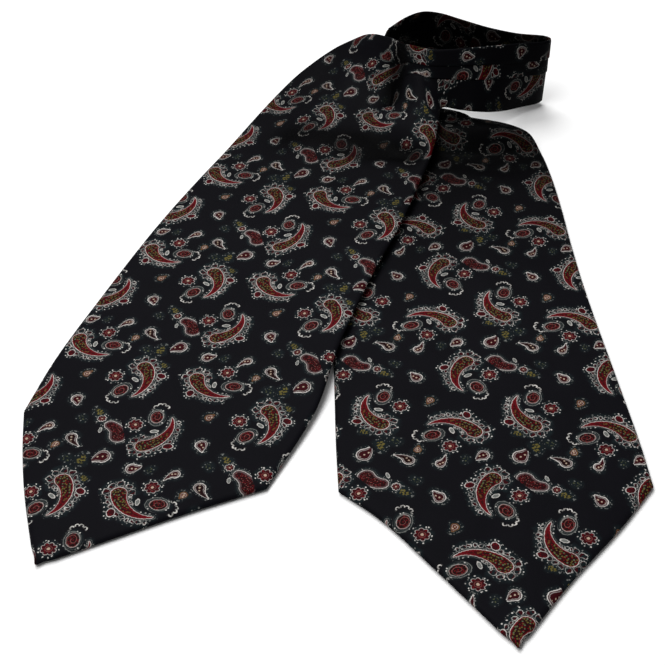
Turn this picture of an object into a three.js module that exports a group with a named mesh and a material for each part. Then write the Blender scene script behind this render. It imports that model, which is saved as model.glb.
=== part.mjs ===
// A day cravat of printed silk, laid down on a table the way it is worn: the neckband stands in a narrow
// loop at the back, one blade comes out of it flat on the table, and the other blade crosses over that one.
//
// The cravat is one strip. From the fold at the right end of the loop, one half runs left along the front of
// the loop, opens out of its pleats at the crossing and becomes the over blade. The other half runs along the
// back of the loop, turns down under the crossing and becomes the under blade.
//
// Lengths are in millimetres. +X is right, +Y is away from the blades' points, +Z is up, the table is z = 0.
// In every table of sections, near and far are the two edges of the cloth at that place along the strip.
import * as THREE from 'three';

// Driving dimensions
const PANEL_WALL = 1.0;      // one panel of a blade: a front panel and a back panel lie on each other
const SEAM_GAP = 0.4;        // between pieces that touch
const BLADE_CROWN = 1.2;     // how far the front panel stands off the back panel along a blade's middle
const PANEL_INSET = 1.2;     // how far a back panel stays inside the front panel's edge
const BAND_WALL = 3.0;       // the pleated neckband, several layers sewn together
const PLEAT_FOLDS = [0, 0.5, 0.74]; // each pleat's folded lower edge, as a share of the band's width
const PLEAT_STEP = 1.3;      // how far a pleat's fold stands proud of the next pleat
const EDGE_ROUND = 0.45;     // the fold along an edge bulges by this share of the wall
const COVER_LIFT = 4.2;      // the over blade's underside above the table, where it lies on the under blade
const NECK_LIFT = 8.5;       // the same, where it lies on the turned cloth under the crossing
const COVER_RAMP = 36;       // how far it takes to come down off the under blade's edge

// The over blade, from the neckband to the shoulders of its point. near is the edge on the right, and sag is
// how soon the cloth between its raised edges drops: 1 is a straight line from edge to edge.
const OVER_BODY = [
  { near: [74.0, 203.5, 18.0], far: [68.0, 222.0, 50.0], sag: 1.0 },
  { near: [72.6, 197.5, 18.0], far: [56.0, 236.0, 47.0], sag: 1.0 },
  { near: [71.6, 188.1, 17.0], far: [44.6, 254.5, 42.0], sag: 1.0 },
  { near: [70.4, 177.3, 15.5], far: [29.0, 272.0, 32.5], sag: 1.0 },
  { near: [68.8, 166.5, 13.0], far: [12.0, 280.0, 21.5], sag: 1.1 },
  { near: [65.0, 153.0, 10.5], far: [-9.4, 270.0, 12.0], sag: 1.4 },
  { near: [57.3, 130.6, 8.0], far: [-30.1, 249.1, 4.5], sag: 2.0 },
  { near: [42.0, 86.0, 6.5], far: [-66.3, 181.0, 0.0], sag: 2.5 },
  { near: [22.0, 35.0, 5.5], far: [-100.8, 108.0, 0.0], sag: 3.0 },
  { near: [4.0, -18.0, 4.5], far: [-130.0, 34.0, 0.0], sag: 3.0 },
  { near: [-8.5, -64.0, 2.5], far: [-148.6, -17.5, 0.0], sag: 3.0 },
  { near: [-34.0, -118.5, 0.0], far: [-159.6, -58.0, 0.0], sag: 3.0 },
];
const OVER_POINT = [
  { near: [-34.0, -118.5, 0.0], far: [-159.6, -58.0, 0.0] },
  { near: [-70.0, -132.2, 0.0], far: [-156.2, -86.0, 0.0] },
  { near: [-104.0, -146.8, 0.0], far: [-151.0, -116.0, 0.0] },
  { near: [-136.6, -161.3, 0.0], far: [-140.6, -159.4, 0.0] },
];

// The under blade, from the pleats under the crossing to its point. near is the edge on the left.
const UNDER_BODY = [
  { near: [4.0, 190.0, 0.0], far: [95.0, 200.5, 0.0] },
  { near: [2.0, 178.0, 0.0], far: [107.0, 196.0, 0.0] },
  { near: [1.0, 168.0, 0.0], far: [118.0, 190.0, 0.0] },
  { near: [0.5, 157.0, 0.0], far: [128.0, 180.5, 0.0] },
  { near: [0.0, 145.0, 0.0], far: [134.6, 168.0, 0.0] },
  { near: [0.0, 130.0, 0.0], far: [138.6, 148.5, 0.0] },
  { near: [0.0, 104.0, 0.0], far: [140.2, 111.0, 0.0] },
  { near: [0.0, 66.0, 0.0], far: [140.6, 70.0, 0.0] },
  { near: [0.0, 20.0, 0.0], far: [142.2, 21.0, 0.0] },
  { near: [0.0, -40.0, 0.0], far: [146.4, -45.0, 0.0] },
  { near: [-0.2, -90.0, 0.0], far: [149.6, -97.0, 0.0] },
  { near: [0.3, -122.0, 0.0], far: [150.4, -126.0, 0.0] },
];
const UNDER_POINT = [
  { near: [0.3, -122.0, 0.0], far: [150.4, -126.0, 0.0] },
  { near: [19.5, -141.2, 0.0], far: [131.0, -151.0, 0.0] },
  { near: [45.0, -176.0, 0.0], far: [102.0, -183.8, 0.0] },
  { near: [73.2, -216.6, 0.0], far: [76.8, -216.2, 0.0] },
];

// The front of the loop, from the pleats' end at the crossing to the fold. near is the lower edge.
const BAND_FRONT = [
  { near: [76.6, 202.8, 18.6], far: [70.8, 221.6, 50.0] },
  { near: [85.5, 199.5, 18.0], far: [82.4, 219.5, 51.0] },
  { near: [99.5, 197.5, 17.0], far: [97.4, 221.0, 51.0] },
  { near: [113.0, 205.5, 12.0], far: [112.6, 222.5, 51.0] },
  { near: [129.5, 219.5, 6.5], far: [129.0, 226.0, 50.0] },
  { near: [140.5, 228.2, 3.6], far: [143.8, 228.6, 49.0] },
];

// The back of the loop, from the fold round to where it starts to turn down. near is the lower edge.
const BAND_BACK = [
  { near: [142.6, 229.8, 3.4], far: [146.2, 230.2, 49.0] },
  { near: [144.0, 233.4, 2.8], far: [147.8, 233.2, 49.0] },
  { near: [140.8, 236.4, 2.0], far: [145.0, 236.6, 49.0] },
  { near: [126.0, 239.4, 1.6], far: [127.5, 241.5, 49.0] },
  { near: [108.0, 246.0, 1.6], far: [109.5, 251.0, 49.0] },
  { near: [91.0, 257.0, 1.6], far: [92.0, 263.0, 49.5] },
  { near: [76.0, 266.5, 1.6], far: [78.5, 272.0, 50.0] },
  { near: [62.0, 270.5, 1.6], far: [67.5, 275.5, 49.5] },
];

// The stretch that turns down under the crossing, from the standing band to the under blade's pleats.
// bulge is how far the turned cloth is rounded up towards its far edge.
const TURN = [
  { near: [60.9, 270.8, 1.6], far: [66.4, 275.8, 49.3], bulge: 0 },
  { near: [48.0, 271.0, 1.6], far: [57.0, 274.5, 45.5], bulge: 0 },
  { near: [35.0, 265.0, 1.6], far: [46.0, 268.0, 37.0], bulge: 1 },
  { near: [24.0, 253.0, 1.6], far: [38.5, 258.5, 28.0], bulge: 1 },
  { near: [15.5, 239.0, 1.6], far: [38.0, 246.5, 19.0], bulge: 1 },
  { near: [10.0, 224.0, 1.6], far: [48.0, 233.0, 12.5], bulge: 1 },
  { near: [6.5, 208.0, 1.6], far: [64.0, 220.0, 9.5], bulge: 2.5 },
  { near: [4.3, 191.8, 1.6], far: [92.0, 202.3, 8.6], bulge: 6 },
];

// The roll of cloth across the under blade's head, where it comes down off the pleats. It rises from foot to
// top along Y, starts across the blade between rollFrom and rollFull, and drops towards the far edge.
const HEAD_ROLL = {
  height: 11.0, foot: 165, top: 186, rollFrom: 0.42, rollFull: 0.66, dropFrom: 0.8, edgeDrop: 0.45,
};

// Soft folds of the over blade, as lines on the plan. A rise below zero is a trough.
const OVER_FOLDS = [
  { from: [38.0, 196.0], to: [60.0, 172.0], rise: 4.0, spread: 9 },
  { from: [44.0, 214.0], to: [50.0, 236.0], rise: -4.5, spread: 7 },
  { from: [58.0, 190.0], to: [62.0, 214.0], rise: 3.5, spread: 9 },
  { from: [20.0, 172.0], to: [52.0, 160.0], rise: -4.0, spread: 11 },
  { from: [-22.0, 190.0], to: [20.0, 172.0], rise: -3.0, spread: 14 },
  { from: [8.0, 215.0], to: [28.0, 262.0], rise: 3.0, spread: 12 },
];

// Numbers of steps for the meshes
const OVER_ROWS = 36;
const UNDER_ROWS = 28;
const POINT_ROWS = 6;
const OVER_COLUMNS = 20;
const UNDER_COLUMNS = 16;
const BAND_ROWS = 15;
const TURN_ROWS = 16;
const TURN_COLUMNS = 10;

const smoothstep = THREE.MathUtils.smoothstep;
const lerp = THREE.MathUtils.lerp;

const SILK = { roughness: 0.5, metalness: 0.0 };
const silkFront = new THREE.MeshStandardMaterial({ name: 'silk_front', color: 0x1b1b1e, ...SILK });
const silkBand = new THREE.MeshStandardMaterial({ name: 'silk_band', color: 0x141416, ...SILK });
const silkBack = new THREE.MeshStandardMaterial({ name: 'silk_back', color: 0x202024, ...SILK });

// A smooth curve along one edge of a table of sections.
function edgeCurve(sections, edge) {
  const points = sections.map((section) => new THREE.Vector3(...section[edge]));
  const curve = new THREE.CatmullRomCurve3(points, false, 'centripetal');
  return (share) => curve.getPoint(share);
}

// A column of a table of sections, read between its rows.
function columnAt(sections, column, share) {
  const last = sections.length - 1;
  const index = Math.min(Math.floor(share * last), last - 1);
  return lerp(sections[index][column], sections[index + 1][column], share * last - index);
}

function foldRelief(folds, x, y) {
  let rise = 0;
  for (const fold of folds) {
    const [ax, ay] = fold.from;
    const [bx, by] = fold.to;
    const length2 = (bx - ax) ** 2 + (by - ay) ** 2;
    const along = THREE.MathUtils.clamp(((x - ax) * (bx - ax) + (y - ay) * (by - ay)) / length2, 0, 1);
    const dx = x - lerp(ax, bx, along);
    const dy = y - lerp(ay, by, along);
    rise += fold.rise * Math.exp(-(dx * dx + dy * dy) / (fold.spread * fold.spread));
  }
  return rise;
}

// A blade's underside. Shares up to 1 run along the body, and from 1 to 2 down the point.
function bladeSurface(body, point, height) {
  const bodyNear = edgeCurve(body, 'near');
  const bodyFar = edgeCurve(body, 'far');
  const pointNear = edgeCurve(point, 'near');
  const pointFar = edgeCurve(point, 'far');
  return (share, across) => {
    const a = share <= 1 ? bodyNear(share) : pointNear(share - 1);
    const b = share <= 1 ? bodyFar(share) : pointFar(share - 1);
    const place = a.clone().lerp(b, across);
    place.z = height(place, Math.max(a.z, 0), Math.max(b.z, 0), across, Math.min(share, 1));
    return place;
  };
}

// How high the cloth under the over blade holds its underside.
function coverHeight(x, y) {
  const onto = smoothstep(x, -COVER_RAMP - 2, -2);
  const endOfCover = smoothstep(y, -78, -44);
  return lerp(COVER_LIFT, NECK_LIFT, smoothstep(y, 150, 190)) * onto * endOfCover;
}

function overHeight(place, nearZ, farZ, across, share) {
  const sag = columnAt(OVER_BODY, 'sag', share);
  const edges = nearZ * (1 - across) ** sag + farZ * across ** sag;
  const folds = foldRelief(OVER_FOLDS, place.x, place.y) * smoothstep(share, 0.03, 0.2);
  const held = coverHeight(place.x, place.y) * (1 - 0.5 * Math.min(edges / 12, 1));
  return Math.hypot(Math.max(edges + folds, 0), held);
}

function underHeight(place, nearZ, farZ, across) {
  const roll = smoothstep(place.y, HEAD_ROLL.foot, HEAD_ROLL.top);
  const left = smoothstep(across, HEAD_ROLL.rollFrom, HEAD_ROLL.rollFull);
  const right = 1 - HEAD_ROLL.edgeDrop * smoothstep(across, HEAD_ROLL.dropFrom, 1);
  return HEAD_ROLL.height * roll * left * right;
}

// The middle of a band's wall: straight from its near edge to its far edge, plus the bulge.
function bandSurface(sections, bulge) {
  const near = edgeCurve(sections, 'near');
  const far = edgeCurve(sections, 'far');
  return (share, across) => {
    const place = near(share).lerp(far(share), across);
    place.z += bulge(share) * 9.5 * across ** 3 * (1 - across);
    return place;
  };
}

// The surface's normal, on the printed side when side is 1 or -1 as the strip runs.
function normalAt(surface, share, across, lastShare, side) {
  const step = 0.004;
  const along = surface(Math.min(share + step, lastShare), across);
  along.sub(surface(Math.max(share - step, 0), across));
  const athwart = surface(share, Math.min(across + step, 1));
  athwart.sub(surface(share, Math.max(across - step, 0)));
  return along.cross(athwart).normalize().multiplyScalar(side);
}

// Moves the first and last of a row of points in along the row.
function insetRow(row, inset) {
  const last = row.length - 1;
  const width = row[0].distanceTo(row[last]);
  const move = Math.min(inset, 0.3 * width);
  const moved = (from, to) => from.clone().addScaledVector(to.clone().sub(from).normalize(), move);
  return row.map((point, i) => {
    if (i === 0) return moved(point, row[1]);
    return i === last ? moved(point, row[last - 1]) : point;
  });
}

// A closed wall over a surface. low and high are its faces' distances from the surface along the normal,
// and inset keeps its two edges and its last end back from the surface's own.
function wall({ name, surface, shares, columns, side, low, high, inset, material }) {
  const lastShare = shares[shares.length - 1];
  const count = columns.length;
  const rings = shares.map((share) => {
    const places = columns.map((across) => surface(share, across));
    const normals = columns.map((across) => normalAt(surface, share, across, lastShare, side));
    const face = (height) => insetRow(
      places.map((place, i) => place.clone().addScaledVector(normals[i], height(share, columns[i]))), inset);
    const top = face(high);
    const bottom = face(low);
    const nose = (i, inner) => {
      const outward = top[i].clone().sub(top[inner]).normalize();
      const thickness = top[i].distanceTo(bottom[i]);
      return top[i].clone().lerp(bottom[i], 0.5).addScaledVector(outward, EDGE_ROUND * thickness);
    };
    return [...top, nose(count - 1, count - 2), ...[...bottom].reverse(), nose(0, 1)];
  });
  const end = rings.length - 1;
  if (inset > 0) {
    rings[end] = rings[end].map((point, i) => {
      const step = rings[end - 1][i].clone().sub(point);
      return point.clone().addScaledVector(step.normalize(), inset);
    });
  }

  const ringSize = 2 * count + 2;
  const faces = [];
  for (let row = 0; row < end; row += 1) {
    for (let i = 0; i < ringSize; i += 1) {
      const next = (i + 1) % ringSize;
      const a = row * ringSize + i;
      const b = row * ringSize + next;
      const c = b + ringSize;
      const d = a + ringSize;
      faces.push([a, b, c], [a, c, d]);
    }
  }
  const cap = (start, flip) => {
    const topAt = (i) => start + i;
    const bottomAt = (i) => start + 2 * count - i;
    const nearNose = start + ringSize - 1;
    const farNose = start + count;
    const closing = [[nearNose, bottomAt(0), topAt(0)], [farNose, topAt(count - 1), bottomAt(count - 1)]];
    for (let i = 0; i < count - 1; i += 1) {
      closing.push([topAt(i), bottomAt(i + 1), topAt(i + 1)], [topAt(i), bottomAt(i), bottomAt(i + 1)]);
    }
    for (const [p, q, r] of closing) faces.push(flip ? [p, r, q] : [p, q, r]);
  };
  cap(0, false);
  cap(end * ringSize, true);

  const corners = rings.flat();
  const volume = faces.reduce(
    (sum, [a, b, c]) => sum + corners[a].dot(corners[b].clone().cross(corners[c])), 0);
  const outward = volume > 0 ? faces : faces.map(([a, b, c]) => [a, c, b]);
  const geometry = new THREE.BufferGeometry();
  geometry.setAttribute('position', new THREE.Float32BufferAttribute(corners.flatMap((p) => p.toArray()), 3));
  geometry.setIndex(outward.flat());
  geometry.computeVertexNormals();
  const mesh = new THREE.Mesh(geometry, material);
  mesh.name = name;
  return mesh;
}

function evenly(count, from = 0, to = 1) {
  return Array.from({ length: count + 1 }, (_, i) => lerp(from, to, i / count));
}

// A blade's two panels on one surface: the back panel, and the front panel moved out from its points.
function bladePanels({ name, surface, rows, columns, side }) {
  const shared = {
    surface, side, columns: evenly(columns), shares: [...evenly(rows), ...evenly(POINT_ROWS, 1, 2).slice(1)],
  };
  const crown = (share, across) => {
    const openHead = smoothstep(share, 0.05, 0.35);
    const narrowPoint = 1 - 0.7 * smoothstep(share, 1, 2);
    return BLADE_CROWN * openHead * narrowPoint * (1 - (2 * across - 1) ** 4);
  };
  const rest = PANEL_WALL + SEAM_GAP;
  return [
    wall({
      ...shared, name: `${name}_front`, inset: 0, material: silkFront,
      low: (share, across) => rest + crown(share, across),
      high: (share, across) => rest + PANEL_WALL + crown(share, across),
    }),
    wall({
      ...shared, name: `${name}_back`, inset: PANEL_INSET, material: silkBack,
      low: () => 0,
      high: () => PANEL_WALL,
    }),
  ];
}

// Columns of the pleated band: close on each side of a pleat's fold, and one in the middle of each pleat.
function pleatColumns() {
  const close = 0.02;
  const columns = [];
  PLEAT_FOLDS.forEach((fold, i) => {
    const top = PLEAT_FOLDS[i + 1] ?? 1;
    columns.push(i === 0 ? fold : fold + close, (fold + top) / 2, top === 1 ? 1 : top - close);
  });
  return columns;
}

// Each pleat stands out most at its folded lower edge, and dips behind the next pleat's fold at its top.
function pleatStep(across) {
  const index = PLEAT_FOLDS.findLastIndex((fold) => across >= fold);
  const top = PLEAT_FOLDS[index + 1] ?? 1;
  return PLEAT_STEP * (1 - (across - PLEAT_FOLDS[index]) / (top - PLEAT_FOLDS[index]));
}

function bandWall(name, sections) {
  return wall({
    name, surface: bandSurface(sections, () => 0), shares: evenly(BAND_ROWS),
    columns: pleatColumns(), side: 1, inset: 0, material: silkBand,
    low: () => -BAND_WALL / 2,
    high: (share, across) => BAND_WALL / 2 - PLEAT_STEP + pleatStep(across),
  });
}

function turnWall(name) {
  return wall({
    name, surface: bandSurface(TURN, (share) => columnAt(TURN, 'bulge', share)), shares: evenly(TURN_ROWS),
    columns: evenly(TURN_COLUMNS), side: 1, inset: 0, material: silkBand,
    low: () => -BAND_WALL / 2,
    high: () => BAND_WALL / 2,
  });
}

const cravat = new THREE.Group();
cravat.name = 'silk_cravat';
cravat.add(...bladePanels({
  name: 'over_blade', surface: bladeSurface(OVER_BODY, OVER_POINT, overHeight), rows: OVER_ROWS,
  columns: OVER_COLUMNS, side: -1,
}));
cravat.add(...bladePanels({
  name: 'under_blade', surface: bladeSurface(UNDER_BODY, UNDER_POINT, underHeight), rows: UNDER_ROWS,
  columns: UNDER_COLUMNS, side: 1,
}));
cravat.add(bandWall('band_front', BAND_FRONT), bandWall('band_back', BAND_BACK), turnWall('neck_turn'));

// The origin is on the table, under the middle of the whole cravat.
const reach = new THREE.Box3().setFromObject(cravat, true);
const middle = reach.getCenter(new THREE.Vector3());
cravat.position.set(-middle.x, -middle.y, -reach.min.z);

export default cravat;
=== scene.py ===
"""A silk day cravat, laid down crossed: a pleated neckband standing in a loop, and two pointed blades.

Tables of sections are in millimetres on the plan that the solids use. Meshes are in metres in the frame.
"""
import logging
import math
from dataclasses import dataclass
from enum import Enum

import bpy
import numpy as np
from mathutils import Matrix, Vector

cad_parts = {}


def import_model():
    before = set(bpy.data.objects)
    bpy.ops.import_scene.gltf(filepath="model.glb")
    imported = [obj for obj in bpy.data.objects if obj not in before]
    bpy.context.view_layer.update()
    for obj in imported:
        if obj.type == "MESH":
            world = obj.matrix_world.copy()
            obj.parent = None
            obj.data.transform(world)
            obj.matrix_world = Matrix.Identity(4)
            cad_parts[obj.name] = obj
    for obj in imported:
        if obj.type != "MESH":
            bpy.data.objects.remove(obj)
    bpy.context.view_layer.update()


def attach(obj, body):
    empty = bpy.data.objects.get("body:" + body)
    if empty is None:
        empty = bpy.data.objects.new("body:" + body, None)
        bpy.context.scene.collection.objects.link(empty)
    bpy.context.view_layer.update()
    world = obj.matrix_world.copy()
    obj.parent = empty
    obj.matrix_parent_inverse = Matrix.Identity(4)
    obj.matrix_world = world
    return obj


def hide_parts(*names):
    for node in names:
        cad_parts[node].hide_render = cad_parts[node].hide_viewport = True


LOG = logging.getLogger("silk_cravat")
MM = 0.001
PLAN_TO_FRAME = np.array([4.578, -31.572, 0.0])
FLOOR_GAP = 0.12
BULGE_PEAK = 9.5
LAST_BODY_ROW = 11.0
RELAX_ROUNDS = 500
RELAX_STEP = 1.6
PANEL_LIFT = 0.08
PANEL_PRINT_SHIFT = (31.0, 17.0)
ROLL_SHARE_LIMIT = 0.42
# The deepest painted shade on the print.
DARKEST_PAINTED_SHADE = 0.94

Colour = tuple[float, ...]


class Cloth(Enum):
    """How a section of the strip is made up."""

    BAND = 0.0
    BLADE = 1.0


@dataclass(frozen=True)
class Section:
    """The two edges of the cloth at one place along the strip."""

    near: tuple[float, float, float]
    far: tuple[float, float, float]
    cloth: Cloth = Cloth.BLADE
    sag: float = 1.0
    bulge: float = 0.0
    body: float = 0.0
    pleated: float = 0.0


@dataclass(frozen=True)
class Crease:
    """A soft line of relief on the plan. A rise below zero is a trough."""

    start: tuple[float, float]
    end: tuple[float, float]
    rise: float
    spread: float


def smoothstep(value: np.ndarray, low: float, high: float) -> np.ndarray:
    """Gives 0 below low, 1 above high, and a smooth ramp between.

    Args:
        value: The numbers to ramp.
        low: Where the ramp starts.
        high: Where the ramp ends.

    Returns:
        The ramp at each number.
    """
    share = np.clip((value - low) / (high - low), 0.0, 1.0)
    return share * share * (3.0 - 2.0 * share)


def unit(vectors: np.ndarray) -> np.ndarray:
    """Gives vectors a length of 1, row by row."""
    return vectors / np.maximum(np.linalg.norm(vectors, axis=1), 1e-6)[:, None]


def bulged(across: np.ndarray, bulge: np.ndarray) -> np.ndarray:
    """Gives the rise of a row that bulges near its far edge."""
    return bulge[:, None] * BULGE_PEAK * across**3 * (1 - across)


def relief(creases: tuple[Crease, ...], x: np.ndarray, y: np.ndarray) -> np.ndarray:
    """Adds up the height of soft creases.

    Args:
        creases: The lines of relief.
        x: Plan places, across.
        y: Plan places, up the plan.

    Returns:
        The rise at each place.
    """
    rise = np.zeros_like(x)
    for crease in creases:
        ax, ay = crease.start
        bx, by = crease.end
        length2 = (bx - ax) ** 2 + (by - ay) ** 2
        along = np.clip(((x - ax) * (bx - ax) + (y - ay) * (by - ay)) / length2, 0.0, 1.0)
        away2 = (x - ax - along * (bx - ax)) ** 2 + (y - ay - along * (by - ay)) ** 2
        rise = rise + crease.rise * np.exp(-away2 / crease.spread**2)
    return rise


@dataclass(frozen=True)
class EdgeCurve:
    """A smooth centripetal curve through the points of one edge."""

    points: np.ndarray

    def at(self, places: np.ndarray) -> np.ndarray:
        """Reads the curve.

        Args:
            places: Places along the curve, counted in points from 0.

        Returns:
            One point for each place.
        """
        p = self.points
        last = len(p) - 1
        index = np.clip(np.floor(places).astype(int), 0, last - 1)
        weight = (places - index)[:, None]
        padded = np.vstack([2 * p[0] - p[1], p, 2 * p[-1] - p[-2]])
        x0, x1, x2, x3 = (padded[index + k] for k in range(4))
        d1 = np.sqrt(np.linalg.norm(x2 - x1, axis=1))[:, None]
        d1 = np.where(d1 < 1e-4, 1.0, d1)
        d0 = np.sqrt(np.linalg.norm(x1 - x0, axis=1))[:, None]
        d0 = np.where(d0 < 1e-4, d1, d0)
        d2 = np.sqrt(np.linalg.norm(x3 - x2, axis=1))[:, None]
        d2 = np.where(d2 < 1e-4, d1, d2)
        t1 = ((x1 - x0) / d0 - (x2 - x0) / (d0 + d1) + (x2 - x1) / d1) * d1
        t2 = ((x2 - x1) / d1 - (x3 - x1) / (d1 + d2) + (x3 - x2) / d2) * d1
        c2 = -3 * x1 + 3 * x2 - 2 * t1 - t2
        c3 = 2 * x1 - 2 * x2 + t1 + t2
        return x1 + weight * (t1 + weight * (c2 + weight * c3))


OVER_SECTIONS = (
    Section((35.0, 265.0, 1.6), (45.0, 268.4, 41.8), Cloth.BAND, bulge=1.0, pleated=0.7),
    Section((48.0, 271.0, 1.6), (56.8, 274.6, 46.4), Cloth.BAND, pleated=1.0),
    Section((62.0, 270.5, 1.6), (67.5, 275.5, 49.5), Cloth.BAND, pleated=1.0),
    Section((76.0, 266.5, 1.6), (78.5, 272.0, 50.0), Cloth.BAND, pleated=1.0),
    Section((91.0, 257.0, 1.6), (92.0, 263.0, 49.5), Cloth.BAND, pleated=1.0),
    Section((108.0, 246.0, 1.6), (109.5, 251.0, 49.0), Cloth.BAND, pleated=1.0),
    Section((126.0, 239.4, 1.6), (127.5, 241.5, 49.0), Cloth.BAND, pleated=1.0),
    Section((140.8, 236.4, 2.0), (145.0, 236.6, 49.0), Cloth.BAND, pleated=1.0),
    Section((144.0, 233.4, 2.8), (147.8, 233.2, 49.0), Cloth.BAND, pleated=1.0),
    Section((141.2, 228.9, 3.5), (145.0, 229.3, 49.0), Cloth.BAND, pleated=1.0),
    Section((129.5, 219.5, 6.5), (129.0, 226.0, 50.0), Cloth.BAND, pleated=1.0),
    Section((113.0, 205.5, 12.0), (112.6, 222.5, 51.0), Cloth.BAND, pleated=1.0),
    Section((99.5, 197.5, 17.0), (97.4, 221.0, 51.0), Cloth.BAND, pleated=1.0),
    Section((85.5, 199.5, 18.0), (82.4, 219.5, 51.0), Cloth.BAND, pleated=1.0),
    Section((76.6, 202.3, 18.4), (69.4, 221.8, 50.0), Cloth.BAND, pleated=1.0),
    Section((72.6, 197.5, 18.0), (56.0, 236.0, 47.0), body=1, pleated=0.8),
    Section((71.6, 188.1, 17.0), (44.6, 254.5, 42.0), body=2, pleated=0.45),
    Section((70.4, 177.3, 15.5), (29.0, 272.0, 32.5), body=3, pleated=0.18),
    Section((68.8, 166.5, 13.0), (12.0, 280.0, 21.5), sag=1.1, body=4),
    Section((65.0, 153.0, 10.5), (-9.4, 270.0, 12.0), sag=1.4, body=5),
    Section((57.3, 130.6, 8.0), (-30.1, 249.1, 4.5), sag=2.0, body=6),
    Section((42.0, 86.0, 6.5), (-66.3, 181.0, 0.0), sag=2.5, body=7),
    Section((22.0, 35.0, 5.5), (-100.8, 108.0, 0.0), sag=3.0, body=8),
    Section((4.0, -18.0, 4.5), (-130.0, 34.0, 0.0), sag=3.0, body=9),
    Section((-8.5, -64.0, 2.5), (-148.6, -17.5, 0.0), sag=3.0, body=10),
    Section((-34.0, -118.5, 0.0), (-159.6, -58.0, 0.0), sag=3.0, body=11),
)
OVER_POINT = (
    OVER_SECTIONS[-1],
    Section((-70.0, -132.2, 0.0), (-156.2, -86.0, 0.0)),
    Section((-104.0, -146.8, 0.0), (-151.0, -116.0, 0.0)),
    Section((-136.6, -161.3, 0.0), (-140.6, -159.4, 0.0)),
)
UNDER_SECTIONS = (
    Section((34.0, 264.2, 1.6), (44.4, 267.6, 41.1), Cloth.BAND, bulge=1.0, pleated=0.7),
    Section((24.0, 253.0, 1.6), (38.5, 258.5, 29.5), Cloth.BAND, bulge=1.0, pleated=0.6),
    Section((15.5, 239.0, 1.6), (38.0, 246.5, 19.0), Cloth.BAND, bulge=1.0, pleated=0.5),
    Section((10.0, 224.0, 1.6), (48.0, 233.0, 12.5), Cloth.BAND, bulge=1.0, pleated=0.35),
    Section((6.5, 208.0, 1.6), (64.0, 220.0, 9.5), Cloth.BAND, bulge=2.5, pleated=0.2),
    Section((4.3, 191.8, 1.6), (92.5, 204.8, 9.4), Cloth.BAND, bulge=6.0, pleated=0.1),
    Section((2.0, 178.0, 0.0), (108.5, 201.0, 0.0), body=1),
    Section((1.0, 168.0, 0.0), (120.0, 195.0, 0.0), body=2),
    Section((0.5, 157.0, 0.0), (129.8, 185.0, 0.0), body=3),
    Section((0.0, 145.0, 0.0), (135.8, 170.5, 0.0), body=4),
    Section((0.0, 130.0, 0.0), (138.6, 148.5, 0.0), body=5),
    Section((0.0, 104.0, 0.0), (140.2, 111.0, 0.0), body=6),
    Section((0.0, 66.0, 0.0), (140.6, 70.0, 0.0), body=7),
    Section((0.0, 20.0, 0.0), (142.2, 21.0, 0.0), body=8),
    Section((0.0, -40.0, 0.0), (146.4, -45.0, 0.0), body=9),
    Section((-0.2, -90.0, 0.0), (149.6, -97.0, 0.0), body=10),
    Section((0.3, -122.0, 0.0), (150.4, -126.0, 0.0), body=11),
)
UNDER_POINT = (
    UNDER_SECTIONS[-1],
    Section((19.5, -141.2, 0.0), (131.0, -151.0, 0.0)),
    Section((45.0, -176.0, 0.0), (102.0, -183.8, 0.0)),
    Section((73.2, -216.6, 0.0), (76.8, -216.2, 0.0)),
)

OVER_FOLDS = (
    Crease((38.0, 196.0), (60.0, 172.0), 4.0, 9.0),
    Crease((44.0, 214.0), (50.0, 236.0), -4.5, 7.0),
    Crease((58.0, 190.0), (62.0, 214.0), 3.5, 9.0),
    Crease((20.0, 172.0), (52.0, 160.0), -4.0, 11.0),
    Crease((-22.0, 190.0), (20.0, 172.0), -3.0, 14.0),
    Crease((8.0, 215.0), (28.0, 262.0), 3.0, 12.0),
)
OVER_WRINKLES = (
    Crease((30.0, 60.0), (-36.0, 96.0), 0.7, 7.0),
    Crease((-60.0, 130.0), (10.0, 138.0), -0.6, 8.0),
    Crease((-120.0, -30.0), (-62.0, -60.0), 0.7, 9.0),
    Crease((-128.0, -108.0), (-96.0, -80.0), -0.5, 8.0),
    Crease((-14.0, 20.0), (-20.0, -52.0), 0.5, 8.0),
)
UNDER_WRINKLES = (
    Crease((62.0, 150.0), (128.0, 128.0), 0.8, 9.0),
    Crease((100.0, 90.0), (134.0, 40.0), -0.7, 10.0),
    Crease((36.0, -60.0), (92.0, -76.0), 0.6, 9.0),
    Crease((64.0, -180.0), (80.0, -130.0), -0.5, 8.0),
    Crease((20.0, -110.0), (60.0, -128.0), 0.5, 9.0),
)


@dataclass
class RowSet:
    """Everything that changes from row to row along a strand of the strip."""

    near: np.ndarray
    far: np.ndarray
    sag: np.ndarray
    bulge: np.ndarray
    blade: np.ndarray
    share: np.ndarray
    point: np.ndarray
    pleated: np.ndarray
    sine: np.ndarray


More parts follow.
